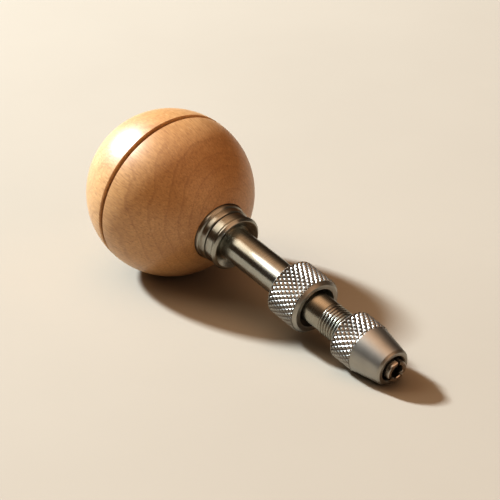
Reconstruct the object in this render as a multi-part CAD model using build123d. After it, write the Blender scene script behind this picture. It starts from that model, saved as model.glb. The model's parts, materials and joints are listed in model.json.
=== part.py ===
from build123d import *
import math
import os

# String winder: a wooden ball handle whose rear half turns freely under the palm, and a steel
# shank that carries a knurled grip collar and a three-jaw collet chuck.
#
# Every piece is turned about one axis. All of them are drawn in the tool's own frame, with that
# axis along Z, the ball's centre at 0 and the jaws at the high end, so a name that ends in _Z is
# a place along the tool. lay_down() then puts the tool in the model's frame as it rests on the
# ground plane z = 0: on the ball and on the front rim of the chuck nut, pointing along +X.
# Lengths are in millimetres and angles in degrees. Screw threads and knurls are plain cylinders.

# ---- driving dimensions -------------------------------------------------------------------
RUN_FIT = 0.05          # radial clearance of a turning or sliding fit
END_FLOAT = 0.05        # axial play of the turning palm cap

# wooden ball, split by a narrow gap just behind its middle
BALL_R = 17.5
BODY_FACE_Z = -0.3      # rear face of the fixed part
CAP_GAP = 0.8           # width of the gap that shows all the way round
LIP_R = 0.3             # rounding of the gap's two lips
CROWN_HOLE_DEPTH = 10.4

# swivel of the palm cap: shoulder screw M5 with a 6 mm shoulder, put in from the front
SHOULDER_R = 3.0
SHOULDER_LENGTH = 7.0
HEAD_R = 5.0
HEAD_HEIGHT = 3.6
HEX_WIDTH = 3.0
HEX_DEPTH = 2.2
SCREW_THREAD_R = 2.5
SCREW_THREAD_LENGTH = 9.5
CAP_INSERT_R = 3.75
CAP_INSERT_LENGTH = 10.0
INSERT_SLOT_WIDTH = 1.0
INSERT_SLOT_DEPTH = 1.2
BUSH_R = 4.0
BUSH_FLANGE_R = 6.5
BUSH_FLANGE = 1.0
THRUST_WASHER_R = 7.0
THRUST_WASHER = 0.7
FLAT_WASHER_R = 5.3
FLAT_WASHER = 0.6
CONE_WASHER_R = 4.9
CONE_WASHER = 0.3
CONE_WASHER_RISE = 0.25
WASHER_BORE_R = 3.1

# front of the ball: threaded insert, base ring and ferrule
FRONT_BORE_R = 5.5
SHANK_INSERT_LENGTH = 5.6
SEAT_Z = 15.6           # floor of the shallow seat for the base ring
SEAT_R = 6.4
RING_BEAD_R = 6.25
RING_BAND_R = 5.95
RING_FRONT_Z = 18.65
FERRULE_REAR_Z = 18.8
FERRULE_BAND_R = 5.75
FERRULE_LIP_R = 6.0
FERRULE_RIM_R = 5.3
FERRULE_FRONT_Z = 22.0
DISH_R = 3.95
DISH_DEPTH = 1.1
REGISTER_R = 4.8        # small boss that keeps the ring and the ferrule a hair apart

# shank tube
TAIL_R = 3.0
SHANK_R = 3.5
SHANK_BORE_R = 1.8
SHANK_FRONT_Z = 40.0
NOSE_SOCKET_LENGTH = 6.0

# grip collar, pressed over the joint of shank and nose
COLLAR_R = 6.1
COLLAR_REAR_Z = 39.0
COLLAR_FRONT_Z = 47.1
COLLAR_BEVEL = (0.85, 0.75)      # radial, axial
COLLAR_REAR_CHAMFER = 0.35
COLLAR_RECESS_R = 4.3
COLLAR_RECESS_Z = 43.5

# chuck nose with its collet seat
NOSE_R = 3.42
NOSE_FRONT_Z = 64.8
NOSE_CHAMFER = 0.3
NOSE_TAIL_R = 2.5
NOSE_TAIL_BORE_R = 1.2
NOSE_BORE_R = 2.2
SPRING_SEAT_Z = 42.5
SEAT_CONE_Z = 61.5
SEAT_ANGLE = 8.0

# collet: a guide ring and three leaves that bend at their roots
GRIP_R = 1.4            # the bore that grips, partly open
GRIP_REAR_Z = 65.3
RELIEF_R = 1.65         # the wider bore behind it
GUIDE_R = NOSE_BORE_R - RUN_FIT
LEAF_R = 1.95
TAIL_REAR_Z = 48.5
GUIDE_FRONT_Z = 51.2
LEAF_ROOT_Z = 52.2
LEAF_ROOT_GAP = 0.1
JAW_SEAT_GAP = 0.12
JAW_SHOULDER_R = 2.95
JAW_SHOULDER_Z = 65.8
JAW_SHOULDER_LENGTH = 1.0
JAW_NECK_R = 2.3
JAW_NECK_Z = 68.1
JAW_TIP_Z = 70.8
JAW_EDGE = 0.15
JAW_COUNT = 3
SLIT = 0.5

# compression spring behind the collet
SPRING_WIRE_R = 0.25
SPRING_COIL_R = 1.7
SPRING_TURNS = 4.5

# chuck nut
NUT_R = 5.3
NUT_REAR_Z = 57.0
NUT_REAR_CHAMFER = 0.35
NUT_KNURL_FRONT_Z = 62.6
NUT_CONE_FRONT_R = 3.95
NUT_CONE_FRONT_Z = 69.25
NUT_FRONT_Z = 69.7
NUT_FACE_R = 3.55
NUT_HOLE_R = 2.7
NUT_HOLE_EDGE = 0.2
NUT_BORE_R = NOSE_R + RUN_FIT
NUT_SHOULDER_Z = 66.6
NUT_HOLE_Z = 68.5

# ---- derived places -----------------------------------------------------------------------
CAP_FACE_Z = BODY_FACE_Z - CAP_GAP
SHOULDER_FRONT_Z = CAP_FACE_Z + SHOULDER_LENGTH
SCREW_FRONT_Z = SHOULDER_FRONT_Z + HEAD_HEIGHT
FLAT_WASHER_FRONT_Z = SHOULDER_FRONT_Z - CONE_WASHER - CONE_WASHER_RISE
BODY_STEP_Z = FLAT_WASHER_FRONT_Z - FLAT_WASHER - END_FLOAT     # the screw pulls against this
SHANK_INSERT_REAR_Z = SEAT_Z - SHANK_INSERT_LENGTH


# ---- helpers ------------------------------------------------------------------------------
def turned(*outline):
    """Solid turned about the tool's axis from a closed outline of (radius, z) points."""
    points = [(radius, 0, z) for radius, z in outline]
    return revolve(make_face(Polyline(*points, close=True)), Axis.Z)


def ring(outer_r, inner_r, rear_z, front_z):
    """Plain ring or tube between two places along the tool."""
    return turned((inner_r, rear_z), (outer_r, rear_z), (outer_r, front_z), (inner_r, front_z))


def rod(radius, rear_z, front_z):
    """Plain round bar between two places along the tool."""
    length = front_z - rear_z
    return Pos(0, 0, rear_z + length / 2) * Cylinder(radius, length)


def ball_slice(rear_z, front_z, lip_z):
    """The part of the ball between two planes, with its lip at lip_z rounded."""
    part = Sphere(BALL_R) & rod(BALL_R + 1, rear_z, front_z)
    lip = part.edges().filter_by_position(Axis.Z, lip_z - 0.01, lip_z + 0.01)
    return fillet(lip, LIP_R)


def seat_cone_r(z):
    """Radius of the nose's collet seat at z."""
    return NOSE_BORE_R + (z - SEAT_CONE_Z) * math.tan(math.radians(SEAT_ANGLE))


def lying_angle():
    """How far the axis points down when the ball and the nut both touch the ground."""
    rims = [(NUT_KNURL_FRONT_Z, NUT_R), (NUT_CONE_FRONT_Z, NUT_CONE_FRONT_R)]
    return min(
        math.degrees(math.asin(BALL_R / math.hypot(z, r)) - math.atan2(r, z)) for z, r in rims
    )


def lay_down():
    """Location of the tool's frame in the model's frame, whose origin is under its middle."""
    angle = math.radians(lying_angle())
    reach = JAW_TIP_Z * math.cos(angle) + (JAW_NECK_R - JAW_EDGE) * math.sin(angle)
    return Location(((BALL_R - reach) / 2, 0, BALL_R), (0, 90 + lying_angle(), 0))


# ---- wooden ball and its swivel -----------------------------------------------------------
def make_palm_cap():
    cap = ball_slice(-BALL_R, CAP_FACE_Z, CAP_FACE_Z)
    return cap - rod(CAP_INSERT_R, CAP_FACE_Z - CROWN_HOLE_DEPTH, CAP_FACE_Z)


def make_cap_insert():
    body = ring(CAP_INSERT_R, SCREW_THREAD_R, CAP_FACE_Z - CAP_INSERT_LENGTH, CAP_FACE_Z)
    slot_z = CAP_FACE_Z - CAP_INSERT_LENGTH + INSERT_SLOT_DEPTH / 2
    slot = Box(3 * CAP_INSERT_R, INSERT_SLOT_WIDTH, INSERT_SLOT_DEPTH)
    return body - Pos(0, 0, slot_z) * slot


def make_swivel_screw():
    thread = rod(SCREW_THREAD_R, CAP_FACE_Z - SCREW_THREAD_LENGTH, CAP_FACE_Z)
    shoulder = rod(SHOULDER_R, CAP_FACE_Z, SHOULDER_FRONT_Z)
    head = rod(HEAD_R, SHOULDER_FRONT_Z, SCREW_FRONT_Z)
    hexagon = RegularPolygon(HEX_WIDTH / 2, 6, major_radius=False)
    socket = extrude(Pos(0, 0, SCREW_FRONT_Z - HEX_DEPTH) * hexagon, HEX_DEPTH)
    return thread + shoulder + head - socket


def make_flat_washer():
    rear_z = FLAT_WASHER_FRONT_Z - FLAT_WASHER
    return ring(FLAT_WASHER_R, WASHER_BORE_R, rear_z, FLAT_WASHER_FRONT_Z)


def make_cone_washer():
    """Spring washer that is a shallow cone: its outer edge bears on the flat washer."""
    return turned(
        (WASHER_BORE_R, SHOULDER_FRONT_Z - CONE_WASHER),
        (CONE_WASHER_R, FLAT_WASHER_FRONT_Z),
        (CONE_WASHER_R, FLAT_WASHER_FRONT_Z + CONE_WASHER),
        (WASHER_BORE_R, SHOULDER_FRONT_Z),
    )


def make_thrust_washer():
    return ring(THRUST_WASHER_R, WASHER_BORE_R, CAP_FACE_Z, CAP_FACE_Z + THRUST_WASHER)


def make_swivel_bush():
    flange = ring(BUSH_FLANGE_R, SHOULDER_R + RUN_FIT, BODY_FACE_Z, BODY_FACE_Z + BUSH_FLANGE)
    return flange + ring(BUSH_R, SHOULDER_R + RUN_FIT, BODY_FACE_Z, BODY_STEP_Z)


def make_ball_body():
    body = ball_slice(BODY_FACE_Z, BALL_R, BODY_FACE_Z)
    body -= rod(BUSH_FLANGE_R, BODY_FACE_Z, BODY_FACE_Z + BUSH_FLANGE)
    body -= rod(BUSH_R, BODY_FACE_Z, BODY_STEP_Z)
    body -= rod(FRONT_BORE_R, BODY_STEP_Z, SEAT_Z)
    return body - rod(SEAT_R, SEAT_Z, BALL_R + 1)


# ---- ferrule and shank --------------------------------------------------------------------
def make_shank_insert():
    return ring(FRONT_BORE_R, TAIL_R, SHANK_INSERT_REAR_Z, SEAT_Z)


def make_base_ring():
    bead_rear_z = SEAT_Z + 0.35
    bead_front_z = SEAT_Z + 1.35
    return turned(
        (SHANK_R, SEAT_Z),
        (RING_BEAD_R - 0.2, SEAT_Z),
        (RING_BEAD_R, bead_rear_z),
        (RING_BEAD_R, bead_front_z),
        (RING_BAND_R, bead_front_z + 0.35),
        (RING_BAND_R, RING_FRONT_Z - 0.15),
        (RING_BAND_R - 0.15, RING_FRONT_Z),
        (REGISTER_R, RING_FRONT_Z),
        (REGISTER_R, FERRULE_REAR_Z),
        (SHANK_R, FERRULE_REAR_Z),
    )


def make_ferrule():
    lip_z = FERRULE_FRONT_Z - 1.2
    return turned(
        (SHANK_R, FERRULE_REAR_Z),
        (FERRULE_BAND_R - 0.15, FERRULE_REAR_Z),
        (FERRULE_BAND_R, FERRULE_REAR_Z + 0.15),
        (FERRULE_BAND_R, lip_z),
        (FERRULE_LIP_R, lip_z + 0.2),
        (FERRULE_LIP_R, FERRULE_FRONT_Z - 0.4),
        (FERRULE_RIM_R + 0.2, FERRULE_FRONT_Z),
        (FERRULE_RIM_R, FERRULE_FRONT_Z),
        (DISH_R, FERRULE_FRONT_Z - DISH_DEPTH),
        (SHANK_R, FERRULE_FRONT_Z - DISH_DEPTH),
    )


def make_shank():
    tail = rod(TAIL_R, SHANK_INSERT_REAR_Z + 0.2, SEAT_Z)
    tube = tail + rod(SHANK_R, SEAT_Z, SHANK_FRONT_Z)
    tube -= rod(SHANK_BORE_R, SHANK_INSERT_REAR_Z, SHANK_FRONT_Z)
    return tube - rod(NOSE_TAIL_R, SHANK_FRONT_Z - NOSE_SOCKET_LENGTH, SHANK_FRONT_Z)


def make_grip_collar():
    bevel_r, bevel_z = COLLAR_BEVEL
    chamfer = COLLAR_REAR_CHAMFER
    return turned(
        (SHANK_R, COLLAR_REAR_Z),
        (COLLAR_R - chamfer, COLLAR_REAR_Z),
        (COLLAR_R, COLLAR_REAR_Z + chamfer),
        (COLLAR_R, COLLAR_FRONT_Z - bevel_z),
        (COLLAR_R - bevel_r, COLLAR_FRONT_Z),
        (COLLAR_RECESS_R, COLLAR_FRONT_Z),
        (COLLAR_RECESS_R, COLLAR_RECESS_Z),
        (NOSE_R, COLLAR_RECESS_Z),
        (NOSE_R, SHANK_FRONT_Z),
        (SHANK_R, SHANK_FRONT_Z),
    )


# ---- chuck --------------------------------------------------------------------------------
def make_chuck_nose():
    tail_rear_z = SHANK_FRONT_Z - NOSE_SOCKET_LENGTH
    return turned(
        (NOSE_TAIL_BORE_R, tail_rear_z),
        (NOSE_TAIL_R, tail_rear_z),
        (NOSE_TAIL_R, SHANK_FRONT_Z),
        (NOSE_R, SHANK_FRONT_Z),
        (NOSE_R, NOSE_FRONT_Z - NOSE_CHAMFER),
        (NOSE_R - NOSE_CHAMFER, NOSE_FRONT_Z),
        (seat_cone_r(NOSE_FRONT_Z), NOSE_FRONT_Z),
        (NOSE_BORE_R, SEAT_CONE_Z),
        (NOSE_BORE_R, SPRING_SEAT_Z),
        (NOSE_TAIL_BORE_R, SPRING_SEAT_Z),
    )


def make_collet_spring():
    clear = SPRING_WIRE_R + 0.02
    height = TAIL_REAR_Z - SPRING_SEAT_Z - 2 * clear
    path = Helix(height / SPRING_TURNS, height, SPRING_COIL_R)
    wire = sweep(Plane(origin=path @ 0, z_dir=path % 0) * Circle(SPRING_WIRE_R), path)
    return Pos(0, 0, SPRING_SEAT_Z + clear) * wire


def make_collet_guide():
    return turned(
        (RELIEF_R, TAIL_REAR_Z),
        (GUIDE_R - JAW_EDGE, TAIL_REAR_Z),
        (GUIDE_R, TAIL_REAR_Z + JAW_EDGE),
        (GUIDE_R, GUIDE_FRONT_Z),
        (LEAF_R, GUIDE_FRONT_Z),
        (LEAF_R, LEAF_ROOT_Z),
        (RELIEF_R, LEAF_ROOT_Z),
    )


def make_collet_jaws():
    """The leaves, each with its taper, shoulder and gripping tip, as a list of solids."""
    root_z = LEAF_ROOT_Z + LEAF_ROOT_GAP
    shoulder_front_z = JAW_SHOULDER_Z + JAW_SHOULDER_LENGTH
    blank = turned(
        (RELIEF_R, root_z),
        (LEAF_R, root_z),
        (LEAF_R, SEAT_CONE_Z - JAW_SEAT_GAP),
        (seat_cone_r(SEAT_CONE_Z) - JAW_SEAT_GAP, SEAT_CONE_Z),
        (seat_cone_r(JAW_SHOULDER_Z) - JAW_SEAT_GAP, JAW_SHOULDER_Z),
        (JAW_SHOULDER_R, JAW_SHOULDER_Z),
        (JAW_SHOULDER_R, shoulder_front_z),
        (JAW_NECK_R, JAW_NECK_Z),
        (JAW_NECK_R, JAW_TIP_Z - JAW_EDGE),
        (JAW_NECK_R - JAW_EDGE, JAW_TIP_Z),
        (GRIP_R + JAW_EDGE, JAW_TIP_Z),
        (GRIP_R, JAW_TIP_Z - JAW_EDGE),
        (GRIP_R, GRIP_REAR_Z),
        (RELIEF_R, GRIP_REAR_Z - JAW_EDGE),
    )
    pitch = 360 / JAW_COUNT
    length = JAW_TIP_Z - root_z
    cut = Pos(JAW_SHOULDER_R, 0, root_z + length / 2) * Box(2 * JAW_SHOULDER_R, SLIT, 2 * length)
    for index in range(JAW_COUNT):
        blank -= Rot(0, 0, pitch * (index + 0.5)) * cut
    middles = [Rot(0, 0, pitch * index) * Pos(LEAF_R, 0, root_z) for index in range(JAW_COUNT)]
    return [min(blank.solids(), key=lambda leaf: leaf.distance_to(m.position)) for m in middles]


def make_chuck_nut():
    return turned(
        (NUT_BORE_R, NUT_REAR_Z),
        (NUT_R - NUT_REAR_CHAMFER, NUT_REAR_Z),
        (NUT_R, NUT_REAR_Z + NUT_REAR_CHAMFER),
        (NUT_R, NUT_KNURL_FRONT_Z),
        (NUT_CONE_FRONT_R, NUT_CONE_FRONT_Z),
        (NUT_FACE_R, NUT_FRONT_Z),
        (NUT_HOLE_R + NUT_HOLE_EDGE, NUT_FRONT_Z),
        (NUT_HOLE_R, NUT_FRONT_Z - NUT_HOLE_EDGE),
        (NUT_HOLE_R, NUT_HOLE_Z),
        (NUT_BORE_R, NUT_SHOULDER_Z),
    )


# ---- assembly -----------------------------------------------------------------------------
def make_nodes():
    """Every piece of the tool by name, in the tool's own frame."""
    nodes = {
        "palm_cap": make_palm_cap(),
        "cap_insert": make_cap_insert(),
        "swivel_screw": make_swivel_screw(),
        "flat_washer": make_flat_washer(),
        "cone_washer": make_cone_washer(),
        "thrust_washer": make_thrust_washer(),
        "swivel_bush": make_swivel_bush(),
        "ball_body": make_ball_body(),
        "shank_insert": make_shank_insert(),
        "base_ring": make_base_ring(),
        "ferrule": make_ferrule(),
        "shank": make_shank(),
        "grip_collar": make_grip_collar(),
        "chuck_nose": make_chuck_nose(),
        "collet_spring": make_collet_spring(),
        "collet_guide": make_collet_guide(),
        "chuck_nut": make_chuck_nut(),
    }
    for number, jaw in enumerate(make_collet_jaws(), start=1):
        nodes[f"collet_jaw_{number}"] = jaw
    return nodes


def main():
    os.makedirs("parts", exist_ok=True)
    place = lay_down()
    for name, part in make_nodes().items():
        export_step(place * part, f"parts/{name}.step")


main()
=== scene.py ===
import json
import math

import bmesh
import bpy
from mathutils import Matrix, Vector


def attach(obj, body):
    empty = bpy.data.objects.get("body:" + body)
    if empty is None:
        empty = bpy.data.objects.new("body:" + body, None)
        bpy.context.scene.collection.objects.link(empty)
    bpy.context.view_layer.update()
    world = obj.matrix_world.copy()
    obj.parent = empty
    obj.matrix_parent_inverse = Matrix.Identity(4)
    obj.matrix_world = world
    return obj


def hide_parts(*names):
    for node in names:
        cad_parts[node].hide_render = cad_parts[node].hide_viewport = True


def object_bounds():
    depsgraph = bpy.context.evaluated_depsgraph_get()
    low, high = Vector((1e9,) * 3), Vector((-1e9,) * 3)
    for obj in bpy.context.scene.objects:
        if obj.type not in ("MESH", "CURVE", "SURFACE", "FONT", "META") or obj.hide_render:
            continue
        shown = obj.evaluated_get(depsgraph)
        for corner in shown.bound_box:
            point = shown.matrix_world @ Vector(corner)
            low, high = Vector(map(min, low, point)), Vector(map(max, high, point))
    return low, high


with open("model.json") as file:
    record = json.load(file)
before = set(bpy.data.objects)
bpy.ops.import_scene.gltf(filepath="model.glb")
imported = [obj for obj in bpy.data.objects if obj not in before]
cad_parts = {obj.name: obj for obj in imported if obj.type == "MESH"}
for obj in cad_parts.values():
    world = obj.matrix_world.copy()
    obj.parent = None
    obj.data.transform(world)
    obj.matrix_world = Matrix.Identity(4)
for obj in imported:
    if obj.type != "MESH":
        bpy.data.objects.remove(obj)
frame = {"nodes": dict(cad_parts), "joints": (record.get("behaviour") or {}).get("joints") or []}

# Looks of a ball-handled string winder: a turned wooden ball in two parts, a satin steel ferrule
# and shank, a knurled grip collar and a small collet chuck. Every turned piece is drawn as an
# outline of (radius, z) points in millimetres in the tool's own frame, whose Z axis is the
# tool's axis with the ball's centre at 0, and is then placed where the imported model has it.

CAD_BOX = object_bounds()
MM = 0.001
TURN = 2 * math.pi

# ---- surface detail, in millimetres -------------------------------------------------------
KNURL_PITCH = 1.10          # round the circumference
KNURL_SLANT = 34.0          # degrees from the tool's axis
KNURL_DEPTH = 0.28
KNURL_CREST = 0.30          # share of the pitch that stays flat
KNURL_SAMPLES = 8           # mesh columns and rows per knurl line
THREAD_PITCH = 0.75
THREAD_DEPTH = 0.38
THREAD_SAMPLES = 24         # mesh rows per turn
SEGMENTS = 192              # round a plain turned piece
THREAD_SEGMENTS = 160       # round the threaded nose
LIP = 0.22                  # rounding of the lips of the gap, drawn within the CAD's rounding
BAND_INSET = 0.35           # plain edge behind a knurled band

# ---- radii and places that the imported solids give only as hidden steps, in millimetres ----
REGISTER_R = 4.8            # of the base ring, inside the ferrule
FERRULE_MOUTH_R = 3.95
SHANK_TAIL_R = 3.0
NOSE_TAIL_R = 2.5           # where the nose sits in the shank
NOSE_BORE_R = 2.2
NOSE_SHOULDER_Z = 40.0
SPRING_SEAT_Z = 42.5
THREAD_START_Z = 50.7
COLLAR_RIM_R = 5.25
NUT_CONE_R = 3.95           # at the front of the nut's cone
NUT_FACE_R = 3.55

# ---- camera and light ---------------------------------------------------------------------
CAMERA_AZIMUTH = 50.1       # degrees from -Y towards +X
CAMERA_ELEVATION = 25.1
CAMERA_DISTANCE = 0.4990    # from the ball's centre, along the view
CAMERA_FIELD = 11.89        # degrees across the picture
BALL_OFFSET = (-0.01650, 0.01200)   # ball centre right of and above the view's middle
KEY_DIRECTION = (-0.782, -0.206, 0.588)
KEY_POWER = 67.0
KEY_COLOUR = (0.83, 0.99, 1.16)
SOFTBOX_POWER = 6.0
SOFTBOX_COLOUR = (1.0, 0.92, 0.80)
BOUNCE_POWER = 2.8
BOUNCE_COLOUR = (1.0, 0.64, 0.42)
ROOM = [(0.0, (0.05, 0.028, 0.016)), (0.5, (0.08, 0.050, 0.030)),      # from the horizon
        (0.8, (0.30, 0.205, 0.135)), (1.0, (1.75, 1.14, 0.73))]        # to overhead
CONTRAST = 0.80             # view gamma, below 1 for deeper shadows


def joint(name):
    return next(j for j in frame["joints"] if j["name"] == name)


# ---- the tool's own frame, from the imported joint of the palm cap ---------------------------
AXIS = Vector(joint("palm_cap_spin")["axis"]).normalized()
BALL_CENTRE = Vector(joint("palm_cap_spin")["pos_m"])
DOWN = Vector((AXIS.z, 0, -AXIS.x))
TOOL = Matrix((DOWN, AXIS.cross(DOWN), AXIS)).transposed().to_4x4()
TOOL.translation = BALL_CENTRE


def corners(node):
    """(radius, z) of each ring of vertices on a turned CAD node, in mm, from the rear."""
    into = TOOL.inverted()
    points = [into @ v.co / MM for v in frame["nodes"][node].data.vertices]
    return sorted({(round(p.z, 2), round(math.hypot(p.x, p.y), 2)) for p in points})


def span(node):
    """Rear z, front z, smallest and largest radius of a turned CAD node, in mm."""
    rings = corners(node)
    radii = [r for _, r in rings]
    return rings[0][0], rings[-1][0], min(radii), max(radii)


# ---- outlines -----------------------------------------------------------------------------
def soften(outline, steps=5):
    """Closed outline whose (radius, z, rounding) corners become small arcs."""
    points = []
    count = len(outline)
    for i, (radius, z, rounding) in enumerate(outline):
        here = Vector((radius, z))
        back = Vector(outline[i - 1][:2]) - here
        ahead = Vector(outline[(i + 1) % count][:2]) - here
        if rounding == 0:
            points.append(tuple(here))
            continue
        reach = min(rounding / math.tan(back.angle(ahead) / 2),
                    back.length / 2.1, ahead.length / 2.1)
        start = here + back.normalized() * reach
        end = here + ahead.normalized() * reach
        for k in range(steps + 1):
            t = k / steps
            point = start * (1 - t) ** 2 + here * 2 * t * (1 - t) + end * t ** 2
            points.append(tuple(point))
    return points


def arc(radius, start_z, end_z, steps):
    """Points on a ball of that radius about the origin, between two places along the tool."""
    first, last = math.asin(start_z / radius), math.asin(end_z / radius)
    angles = [first + (last - first) * k / steps for k in range(steps + 1)]
    return [(radius * math.cos(a), radius * math.sin(a)) for a in angles]


def rows(radius, rear, front, step):
    """Points along a plain stretch, close enough together to carry surface relief."""
    count = max(1, round((front - rear) / step))
    return [(radius, rear + (front - rear) * k / count) for k in range(count + 1)]


# ---- meshes -------------------------------------------------------------------------------
def new_object(name, mesh_data, body, stands_for=(), crease=32):
    """Finish a bmesh drawn in mm in the tool's frame as a piece that rides on a body."""
    bmesh.ops.recalc_face_normals(mesh_data, faces=mesh_data.faces)
    mesh_data.transform(TOOL @ Matrix.Scale(MM, 4))
    mesh = bpy.data.meshes.new(name)
    mesh_data.to_mesh(mesh)
    mesh_data.free()
    mesh.shade_smooth()
    mesh.set_sharp_from_angle(angle=math.radians(crease))
    piece = bpy.data.objects.new(name, mesh)
    bpy.context.scene.collection.objects.link(piece)
    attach(piece, body)
    if stands_for:
        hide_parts(*stands_for)
    return piece


def seam(rings, i, first, last, per_turn):
    """Corners of the face that closes a screwed stretch between its last and first columns."""
    end = len(rings[i])
    if i == first - 1:
        step = [rings[i + 1 + n][0] for n in range(per_turn + 1)]
        loop = [rings[i][-1], rings[i][0], *step, rings[i + 1][-1]]
    elif i == last:
        step = [rings[last - n][-1] for n in range(per_turn + 1)]
        loop = [rings[i][0], rings[i + 1][0], rings[i + 1][-1], *step]
    elif i + 1 + per_turn <= last:
        loop = [rings[i][-1], rings[i + per_turn][0], rings[i + 1 + per_turn][0], rings[i + 1][-1]]
    else:
        loop = []
    return {vert: (end, 0) for vert in loop}


def lathe(outline, segments=SEGMENTS, relief=None, poke=None, screw=None):
    """Turn a closed outline about the axis. relief gives the depth to cut at (angle, z) on the
    outer points of the stretch named by poke, whose faces get a middle point for crisp edges.
    screw gives the first and last outline point of a stretch whose rows climb one thread pitch
    per turn, and its rows per turn."""
    bm = bmesh.new()
    uv = bm.loops.layers.uv.new("turned")
    first, last, per_turn = screw or (0, -1, 0)
    rings = []
    for i, (radius, z) in enumerate(outline):
        if radius < 1e-6:
            rings.append([bm.verts.new((0, 0, z))] * segments)
            continue
        climb = THREAD_PITCH / segments if first <= i <= last else 0
        turn = [(k, TURN * k / segments) for k in range(segments)]
        rings.append([bm.verts.new((radius * math.cos(a), radius * math.sin(a), z + climb * k))
                      for k, a in turn])
    count = len(rings)
    lengths = [0.0]
    for i in range(count):
        (r0, z0), (r1, z1) = outline[i], outline[(i + 1) % count]
        lengths.append(lengths[-1] + math.hypot(r1 - r0, z1 - z0))
    carved = []
    for i in range(count):
        near, far = rings[i], rings[(i + 1) % count]
        on_band = poke and all(poke(*outline[j % count]) for j in (i, i + 1))
        for k in range(segments):
            m = (k + 1) % segments
            corner = {near[k]: (k, 0), near[m]: (k + 1, 0), far[m]: (k + 1, 1), far[k]: (k, 1)}
            if screw and m == 0 and first - 1 <= i <= last:
                corner = seam(rings, i, first, last, per_turn)
            if len(corner) < 3:
                continue
            face = bm.faces.new(list(corner))
            for loop, (column, row) in zip(face.loops, corner.values()):
                loop[uv].uv = (column / segments, lengths[i + row] / 10)
            if on_band:
                carved.append(face)
    if carved:
        bmesh.ops.poke(bm, faces=carved, center_mode="MEAN")
    if relief:
        groove = bm.verts.layers.float.new("groove")
        for vert in bm.verts:
            radius = math.hypot(vert.co.x, vert.co.y)
            cut = relief(radius, math.atan2(vert.co.y, vert.co.x), vert.co.z)
            if cut:
                vert.co.x *= (radius - cut) / radius
                vert.co.y *= (radius - cut) / radius
                vert[groove] = cut
    return bm


def valley(position, crest):
    """Depth share of a V groove at each whole position, flat on top over the crest's share."""
    off_crest = abs(position - math.floor(position) - 0.5) * 2
    return max(0.0, (off_crest - crest) / (1 - crest))


def knurl(radius, rear, front):
    """Columns, row step and relief of a diamond knurl on a band of the given radius."""
    lines = round(TURN * radius / KNURL_PITCH)
    lead = TURN * radius / lines / math.tan(math.radians(KNURL_SLANT))

    def relief(r, angle, z):
        if r < radius - 0.3 or not rear - 1e-6 <= z <= front + 1e-6:
            return 0.0
        across, along = lines * angle / TURN, (z - rear) / lead
        depth = KNURL_DEPTH * max(valley(across + along, KNURL_CREST),
                                  valley(across - along, KNURL_CREST))
        return max(0.0, r - (radius - depth))

    return lines * KNURL_SAMPLES, lead / KNURL_SAMPLES, relief


def thread(radius, rear, front):
    """Relief of a right-handed screw thread that fades in over its first turn."""

    def relief(r, angle, z):
        if r < radius - 0.3 or not rear < z < front:
            return 0.0
        fade = min(1.0, (z - rear) / THREAD_PITCH, (front - z) / THREAD_PITCH)
        wave = 0.5 - 0.5 * math.cos(TURN * z / THREAD_PITCH - angle)
        return THREAD_DEPTH * fade * wave

    return relief


# ---- wooden ball --------------------------------------------------------------------------
def make_palm_cap():
    rear, face, _, _ = span("palm_cap")
    radius = -rear
    insert_r = span("cap_insert")[3]
    floor = span("cap_insert")[0] - 0.4
    edge = radius * math.cos(math.asin(face / radius))
    crown = arc(radius, -radius, face - LIP, 72)
    outline = crown + [(edge - LIP, face), (insert_r, face), (insert_r, floor), (0, floor)]
    return new_object("wooden_palm_cap", lathe(outline), "palm_cap", ["palm_cap"])


def make_ball_body():
    rear, _, _, radius = span("ball_body")
    _, step, _, flange_r = span("swivel_bush")
    bush_r = sorted({r for _, r in corners("swivel_bush")})[1]
    seat = span("base_ring")[0]
    bore = span("shank_insert")[3]
    seat_r = span("base_ring")[3] + 0.15
    edge = radius * math.cos(math.asin(rear / radius))
    seat_edge = math.sqrt(radius ** 2 - seat_r ** 2)
    flange = [z for z, r in corners("swivel_bush") if r == flange_r][-1]
    outline = arc(radius, rear + LIP, seat_edge, 96)
    outline += [(seat_r, seat), (bore, seat), (bore, step), (bush_r, step), (bush_r, flange)]
    outline += [(flange_r, flange), (flange_r, rear), (edge - LIP, rear)]
    return new_object("wooden_ball_body", lathe(outline), "handle", ["ball_body"])


def knurled_edge(bore, radius, rear):
    """Outline of the plain rear face and chamfer of a knurled piece."""
    return [(bore, rear), (radius - 0.45, rear), (radius - 0.32, rear + 0.05)]


# ---- ferrule, shank and collar --------------------------------------------------------------
def make_base_ring():
    rear, front, bore, bead = span("base_ring")
    band = bead - 0.3
    outline = soften([
        (bore, rear, 0), (bead - 0.2, rear, 0.1), (bead, rear + 0.35, 0.3),
        (bead, rear + 1.35, 0.25), (band - 0.12, rear + 1.6, 0.12), (band, rear + 1.85, 0.12),
        (band, front - 0.3, 0.12), (band - 0.2, front - 0.15, 0.05),
        (REGISTER_R, front - 0.15, 0), (REGISTER_R, front, 0), (bore, front, 0)])
    return new_object("base_ring_turned", lathe(outline), "handle", ["base_ring"])


def make_ferrule():
    rear, front, bore, lip = span("ferrule")
    band = lip - 0.25
    lip_rear = front - 1.2
    outline = soften([
        (bore, rear, 0), (band - 0.15, rear, 0.06), (band, rear + 0.15, 0.12),
        (band, lip_rear - 0.1, 0.05), (band - 0.15, lip_rear, 0.04),
        (band - 0.15, lip_rear + 0.12, 0.04), (lip, lip_rear + 0.3, 0.2),
        (lip, front - 0.45, 0.3), (lip - 0.5, front, 0.2), (lip - 0.75, front, 0.1),
        (FERRULE_MOUTH_R, front - 1.0, 0.1), (bore, front - 1.1, 0)])
    return new_object("ferrule_turned", lathe(outline), "handle", ["ferrule"])


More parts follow.
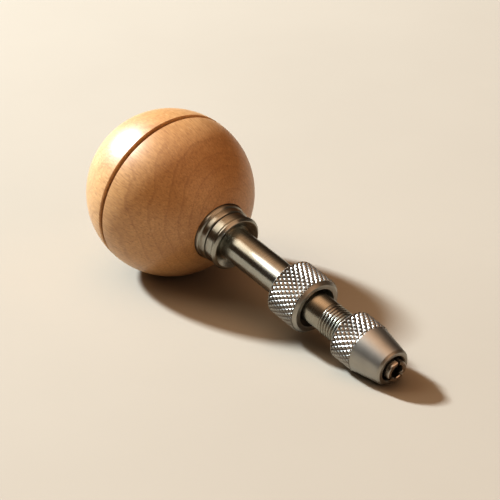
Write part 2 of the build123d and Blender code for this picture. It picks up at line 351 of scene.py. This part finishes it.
def make_shank():
    rear, front, bore, radius = span("shank")
    seat = span("base_ring")[0]
    socket = span("chuck_nose")[0]
    outline = soften([
        (bore, rear, 0.1), (SHANK_TAIL_R, rear, 0.2), (SHANK_TAIL_R, seat, 0.1),
        (radius, seat, 0.1), (radius, front, 0.1), (NOSE_TAIL_R, front, 0),
        (NOSE_TAIL_R, socket, 0), (bore, socket, 0)])
    return new_object("shank_turned", lathe(outline), "handle", ["shank"])


def make_grip_collar():
    rear, front, _, radius = span("grip_collar")
    shank_r = span("shank")[3]
    nose_r = span("chuck_nose")[3]
    band_rear, band_front = rear + BAND_INSET, front - 0.75
    columns, step, relief = knurl(radius, band_rear, band_front)
    band = rows(radius, band_rear, band_front, step)
    socket = span("shank")[1]
    recess_z, recess_r = next((z, r) for z, r in corners("grip_collar")
                              if z > socket + 1 and r > nose_r + 0.5)
    edge = knurled_edge(shank_r, radius, rear)
    nose = soften([(radius - 0.3, band_front + 0.02, 0), (radius - 0.3, band_front + 0.15, 0.08),
                   (COLLAR_RIM_R, front, 0.12), (recess_r, front, 0.1), (recess_r, recess_z, 0.25),
                   (nose_r, recess_z, 0)])
    inside = [(nose_r, socket), (shank_r, socket)]
    bm = lathe(edge + band + nose + inside, columns, relief, poke=lambda r, z: r == radius)
    return new_object("grip_collar_knurled", bm, "handle", ["grip_collar"])


# ---- chuck ----------------------------------------------------------------------------------
def make_chuck_nose():
    rear, front, tail_bore, radius = span("chuck_nose")
    cone = front - 3.3
    step = THREAD_PITCH / THREAD_SAMPLES
    outline = [(tail_bore, rear), (NOSE_TAIL_R, rear), (NOSE_TAIL_R, NOSE_SHOULDER_Z),
               (radius, NOSE_SHOULDER_Z)]
    first = len(outline)
    below = THREAD_START_Z - 0.2
    count = int((front - 0.35 - THREAD_PITCH - below) / step)
    outline += rows(radius, below, below + count * step, step)
    last = len(outline) - 1
    outline += [(radius, front - 0.3), (radius - 0.3, front), (NOSE_BORE_R + 0.46, front),
                (NOSE_BORE_R, cone), (NOSE_BORE_R, SPRING_SEAT_Z), (tail_bore, SPRING_SEAT_Z)]
    bm = lathe(outline, THREAD_SEGMENTS, thread(radius, THREAD_START_Z, front - 0.2),
               screw=(first, last, THREAD_SAMPLES))
    return new_object("chuck_nose_threaded", bm, "handle", ["chuck_nose"], 50)


def make_chuck_nut():
    rear, front, hole, radius = span("chuck_nut")
    bore = span("chuck_nose")[3] + 0.05
    band_rear = rear + BAND_INSET
    band_front = [z for z, r in corners("chuck_nut") if r == radius][-1]
    columns, step, relief = knurl(radius, band_rear, band_front)
    edge = knurled_edge(bore, radius, rear)
    band = rows(radius, band_rear, band_front, step)
    cone = soften([(radius - 0.2, band_front + 0.02, 0), (radius - 0.18, band_front + 0.12, 0.05),
                   (NUT_CONE_R, front - 0.45, 0.4), (NUT_FACE_R, front, 0.3),
                   (hole + 0.2, front, 0.08),
                   (hole, front - 0.2, 0.08), (hole, front - 1.2, 0.1), (bore, front - 3.1, 0.1)])
    bm = lathe(edge + band + cone, columns, relief, poke=lambda r, z: r == radius)
    return new_object("chuck_nut_knurled", bm, "chuck_nut", ["chuck_nut"])


# ---- materials ------------------------------------------------------------------------------
def fill_ramp(node, stops):
    """Give a colour ramp its (place, colour) stops; a grey may be given as one number."""
    elements = node.color_ramp.elements
    while len(elements) < len(stops):
        elements.new(0.5)
    for element, (place, colour) in zip(elements, stops):
        element.position = place
        element.color = (colour,) * 3 + (1,) if isinstance(colour, (int, float)) else (*colour, 1)


class Graph:
    """A node material under construction, with positions given in the tool's frame in mm."""

    def __init__(self, name):
        self.material = bpy.data.materials.new(name)
        self.material.use_nodes = True
        self.tree = self.material.node_tree
        self.tree.nodes.clear()
        self.output = self.tree.nodes.new("ShaderNodeOutputMaterial")
        self.shader = self.tree.nodes.new("ShaderNodeBsdfPrincipled")
        self.tree.links.new(self.shader.outputs["BSDF"], self.output.inputs["Surface"])
        coordinates = self.tree.nodes.new("ShaderNodeTexCoord").outputs["Object"]
        place = self.add("ShaderNodeMapping", Vector=coordinates)
        place.vector_type = "TEXTURE"
        place.inputs["Location"].default_value = TOOL.translation
        place.inputs["Rotation"].default_value = TOOL.to_euler()
        place.inputs["Scale"].default_value = (MM, MM, MM)
        self.position = place.outputs["Vector"]

    def add(self, kind, **inputs):
        node = self.tree.nodes.new(kind)
        for name, value in inputs.items():
            self.feed(node.inputs[name.replace("_", " ")], value)
        return node

    def feed(self, socket, value):
        if isinstance(value, bpy.types.NodeSocket):
            self.tree.links.new(value, socket)
        else:
            socket.default_value = value

    def math(self, operation, first, second=0.0):
        node = self.tree.nodes.new("ShaderNodeMath")
        node.operation = operation
        self.feed(node.inputs[0], first)
        self.feed(node.inputs[1], second)
        return node.outputs[0]

    def stretch(self, scale, shift=(0, 0, 0)):
        """The position multiplied along each of the tool's axes."""
        node = self.add("ShaderNodeMapping", Vector=self.position)
        node.inputs["Scale"].default_value = scale
        node.inputs["Location"].default_value = shift
        return node.outputs["Vector"]

    def noise(self, scale, detail=2.0, shift=(0, 0, 0), roughness=0.5):
        node = self.add("ShaderNodeTexNoise", Vector=self.stretch(scale, shift), Scale=1.0,
                        Detail=detail, Roughness=roughness)
        return node.outputs["Fac"]

    def ramp(self, value, stops):
        """Colour ramp from (place, colour) stops; a grey may be given as one number."""
        node = self.add("ShaderNodeValToRGB", Fac=value)
        fill_ramp(node, stops)
        return node.outputs["Color"]

    def mix(self, factor, first, second, blend="MIX"):
        node = self.tree.nodes.new("ShaderNodeMix")
        node.data_type = "RGBA"
        node.blend_type = blend
        self.feed(node.inputs["Factor"], factor)
        for socket, value in ((node.inputs[6], first), (node.inputs[7], second)):
            self.feed(socket, (*value, 1) if isinstance(value, tuple) else value)
        return node.outputs[2]

    def hypot(self, first, second):
        squares = (self.math("MULTIPLY", v, v) for v in (first, second))
        return self.math("SQRT", self.math("ADD", *squares))

    def tint(self, base, mask, amount, colour):
        """The base colour with another laid over it where the mask is white."""
        return self.mix(self.math("MULTIPLY", mask, amount), base, colour)

    def bump(self, height, strength, distance):
        node = self.add("ShaderNodeBump", Height=height, Strength=strength, Distance=distance)
        self.feed(self.shader.inputs["Normal"], node.outputs["Normal"])

    def set(self, **inputs):
        for name, value in inputs.items():
            self.feed(self.shader.inputs[name.replace("_", " ")], value)


def make_wood():
    """Pale close-grained wood with its grain along the tool, under satin lacquer."""
    g = Graph("lacquered_wood")
    broad = g.ramp(g.noise((0.10, 0.10, 0.05), 3.0, (7, 3, 1)), [(0.35, 0.0), (0.65, 1.0)])
    base = g.mix(broad, (0.58, 0.325, 0.13), (0.67, 0.41, 0.19))
    split = g.add("ShaderNodeSeparateXYZ", Vector=g.position)
    dx = g.math("ADD", split.outputs["X"], 2.5)
    dy = g.math("ADD", split.outputs["Y"], -2.0)
    reach = g.hypot(dx, dy)
    wander = g.noise((0.06, 0.06, 0.025), 4.0)
    phase = g.math("FRACT", g.math("ADD", g.math("MULTIPLY", reach, 0.50),
                                   g.math("MULTIPLY", wander, 2.2)))
    late = g.ramp(phase, [(0.0, 0.0), (0.80, 0.25), (0.95, 1.0), (1.0, 0.0)])
    base = g.tint(base, late, 0.36, (0.36, 0.17, 0.065))
    curl = g.ramp(g.noise((0.5, 0.5, 1.6), 2.0, (2, 8, 5)), [(0.45, 0.0), (0.65, 1.0)])
    patch = g.ramp(g.noise((0.10, 0.10, 0.10), 1.0, (0, 4, 9)), [(0.5, 0.0), (0.7, 1.0)])
    base = g.tint(base, g.math("MULTIPLY", curl, patch), 0.30, (0.36, 0.17, 0.065))
    fibre = g.ramp(g.noise((3.0, 3.0, 0.42), 2.0, (3, 9, 2), 0.5), [(0.36, 0.0), (0.66, 1.0)])
    base = g.tint(base, fibre, 0.42, (0.38, 0.185, 0.07))
    pores = g.ramp(g.noise((3.0, 3.0, 0.6), 1.0, (1, 5, 8)), [(0.54, 0.0), (0.70, 1.0)])
    base = g.tint(base, pores, 0.30, (0.28, 0.115, 0.04))
    flame = g.ramp(g.noise((2.2, 2.2, 0.5), 1.0, (6, 1, 3)), [(0.66, 0.0), (0.74, 1.0)])
    base = g.tint(base, flame, 0.30, (0.78, 0.54, 0.30))
    g.set(Base_Color=base, Roughness=0.42, Coat_Weight=0.36, Coat_Roughness=0.36, Coat_IOR=1.5)
    g.bump(g.math("MULTIPLY", g.math("ADD", fibre, pores), -1.0), 0.20, 0.00002)
    return g.material


def make_steel(name, colour, roughness, marks, darker=0.35, grooved=0.0, stretched=0.0):
    """Turned steel: fine rings round the axis, a soft colour drift and, where it is cut with a
    knurl or a thread, painted shade that darkens the grooves."""
    g = Graph(name)
    split = g.add("ShaderNodeSeparateXYZ", Vector=g.position)
    x, y, z = (split.outputs[axis] for axis in "XYZ")
    along = g.math("ADD", z, g.hypot(x, y))
    lane = g.add("ShaderNodeCombineXYZ", Z=along)
    rings = g.add("ShaderNodeTexNoise", Vector=lane.outputs["Vector"], Scale=marks, Detail=4.0)
    rings = rings.outputs["Fac"]
    drift = g.noise((0.35, 0.35, 0.25), 3.0, (4, 2, 6))
    tone = g.ramp(drift, [(0.3, 0.0), (0.75, 1.0)])
    deep = tuple(c * (1 - darker) for c in colour)
    base = g.tint(colour, tone, 0.5, deep)
    base = g.tint(base, g.ramp(rings, [(0.35, 0.0), (0.7, 1.0)]), 0.3, deep)
    spread = g.ramp(rings, [(0.3, roughness - 0.05), (0.7, roughness + 0.05)])
    if grooved:
        # Painted shade: the colour goes darker with the depth of the knurl or thread cut, standing
        # in for the shade in the grooves.
        cut = g.add("ShaderNodeAttribute")
        cut.attribute_name = "groove"
        groove_shade = g.ramp(g.math("DIVIDE", cut.outputs["Fac"], grooved), [(0.3, 0.0), (1.0, 1.0)])
        base = g.tint(base, groove_shade, 0.75, (0.10, 0.06, 0.035))
    g.set(Base_Color=base, Metallic=1.0, Roughness=spread)
    if stretched:
        tangent = g.add("ShaderNodeTangent")
        tangent.direction_type = "UV_MAP"
        tangent.uv_map = "turned"
        g.set(Anisotropic=stretched, Anisotropic_Rotation=0.25, Tangent=tangent.outputs["Tangent"])
    g.bump(rings, 0.3, 0.00001)
    return g.material


def make_plain(name, colour, roughness, metallic=0.0):
    """Small inner pieces: a mottled colour with a faint grain."""
    g = Graph(name)
    mottle = g.ramp(g.noise((1.5, 1.5, 1.5), 3.0), [(0.3, 0.0), (0.7, 1.0)])
    base = g.tint(colour, mottle, 0.4, tuple(c * 0.7 for c in colour))
    rough = g.ramp(g.noise((6, 6, 6), 2.0), [(0.3, roughness - 0.08), (0.7, roughness + 0.08)])
    g.set(Base_Color=base, Metallic=metallic, Roughness=rough)
    g.bump(mottle, 0.15, 0.00001)
    return g.material


# ---- stage ------------------------------------------------------------------------------------
def make_floor():
    bm = bmesh.new()
    bmesh.ops.create_grid(bm, x_segments=8, y_segments=8, size=1.6)
    mesh = bpy.data.meshes.new("floor")
    bm.to_mesh(mesh)
    bm.free()
    floor = bpy.data.objects.new("floor", mesh)
    bpy.context.scene.collection.objects.link(floor)
    floor.location.z = CAD_BOX[0].z
    g = Graph("pale_floor")
    shade = g.mix(g.noise((0.02, 0.02, 0.02), 3.0), (0.385, 0.330, 0.256), (0.41, 0.354, 0.276))
    g.set(Base_Color=shade, Roughness=0.9)
    mesh.materials.append(g.material)


def aim(obj, target):
    obj.rotation_euler = (target - obj.location).to_track_quat("-Z", "Y").to_euler()


def direction(azimuth, elevation):
    """Unit vector towards a place seen at that azimuth from -Y towards +X, and elevation."""
    a, e = math.radians(azimuth), math.radians(elevation)
    return Vector((math.sin(a) * math.cos(e), -math.cos(a) * math.cos(e), math.sin(e)))


def make_camera():
    data = bpy.data.cameras.new("camera")
    data.angle = math.radians(CAMERA_FIELD)
    data.clip_start = 0.01
    camera = bpy.data.objects.new("camera", data)
    bpy.context.scene.collection.objects.link(camera)
    towards = direction(CAMERA_AZIMUTH, CAMERA_ELEVATION)
    right = Vector((0, 0, 1)).cross(towards).normalized()
    up = towards.cross(right)
    across, above = BALL_OFFSET
    camera.location = BALL_CENTRE + towards * CAMERA_DISTANCE - right * across - up * above
    camera.rotation_euler = Matrix((right, up, towards)).transposed().to_euler()
    bpy.context.scene.camera = camera


def make_area(name, towards, distance, size, power, colour):
    data = bpy.data.lights.new(name, "AREA")
    data.shape = "RECTANGLE"
    data.size, data.size_y = size
    data.energy = power
    data.color = colour
    light = bpy.data.objects.new(name, data)
    bpy.context.scene.collection.objects.link(light)
    light.location = towards * distance
    aim(light, Vector((0, 0, 0.01)))


def make_light():
    key = Vector(KEY_DIRECTION).normalized()
    make_area("window", key, 1.6, (0.14, 0.18), KEY_POWER, KEY_COLOUR)
    make_area("softbox", direction(-52, 48), 1.4, (0.8, 0.8), SOFTBOX_POWER, SOFTBOX_COLOUR)
    make_area("bounce", direction(98, 24), 1.2, (0.9, 0.6), BOUNCE_POWER, BOUNCE_COLOUR)
    world = bpy.data.worlds.new("room")
    world.use_nodes = True
    nodes, links = world.node_tree.nodes, world.node_tree.links
    towards = nodes.new("ShaderNodeTexCoord")
    split = nodes.new("ShaderNodeSeparateXYZ")
    ramp = nodes.new("ShaderNodeValToRGB")
    links.new(towards.outputs["Generated"], split.inputs["Vector"])
    links.new(split.outputs["Z"], ramp.inputs["Fac"])
    links.new(ramp.outputs["Color"], nodes["Background"].inputs["Color"])
    fill_ramp(ramp, ROOM)
    bpy.context.scene.world = world
    view = bpy.context.scene.view_settings
    view.view_transform = "Standard"
    view.look = "None"
    view.gamma = CONTRAST


# ---- build --------------------------------------------------------------------------------------
def dress(piece, material):
    piece.data.materials.clear()
    piece.data.materials.append(material)


def main():
    make_camera()
    make_light()
    make_floor()
    wood = make_wood()
    satin = make_steel("satin_steel", (0.455, 0.45, 0.40), 0.29, 14.0, stretched=0.7)
    knurled = make_steel("knurled_steel", (0.48, 0.465, 0.42), 0.42, 14.0, grooved=KNURL_DEPTH)
    chuck = make_steel("chuck_steel", (0.46, 0.445, 0.385), 0.28, 14.0, grooved=THREAD_DEPTH)
    spring = make_steel("spring_steel", (0.52, 0.47, 0.41), 0.28, 20.0)
    screw = make_steel("screw_steel", (0.52, 0.50, 0.48), 0.35, 10.0)
    brass = make_steel("machined_brass", (0.72, 0.52, 0.24), 0.3, 12.0, 0.2)
    bronze = make_plain("oiled_bronze", (0.52, 0.33, 0.16), 0.4, 1.0)
    nylon = make_plain("nylon", (0.74, 0.69, 0.58), 0.5)
    for make in (make_palm_cap, make_ball_body):
        dress(make(), wood)
    for make in (make_base_ring, make_ferrule, make_shank):
        dress(make(), satin)
    for make in (make_grip_collar, make_chuck_nut):
        dress(make(), knurled)
    dress(make_chuck_nose(), chuck)
    kept = {"cap_insert": brass, "shank_insert": brass, "swivel_screw": screw,
            "flat_washer": screw, "cone_washer": spring, "thrust_washer": nylon,
            "swivel_bush": bronze, "collet_spring": spring, "collet_guide": spring,
            "collet_jaw_1": spring, "collet_jaw_2": spring, "collet_jaw_3": spring}
    for name, material in kept.items():
        dress(frame["nodes"][name], material)


main()
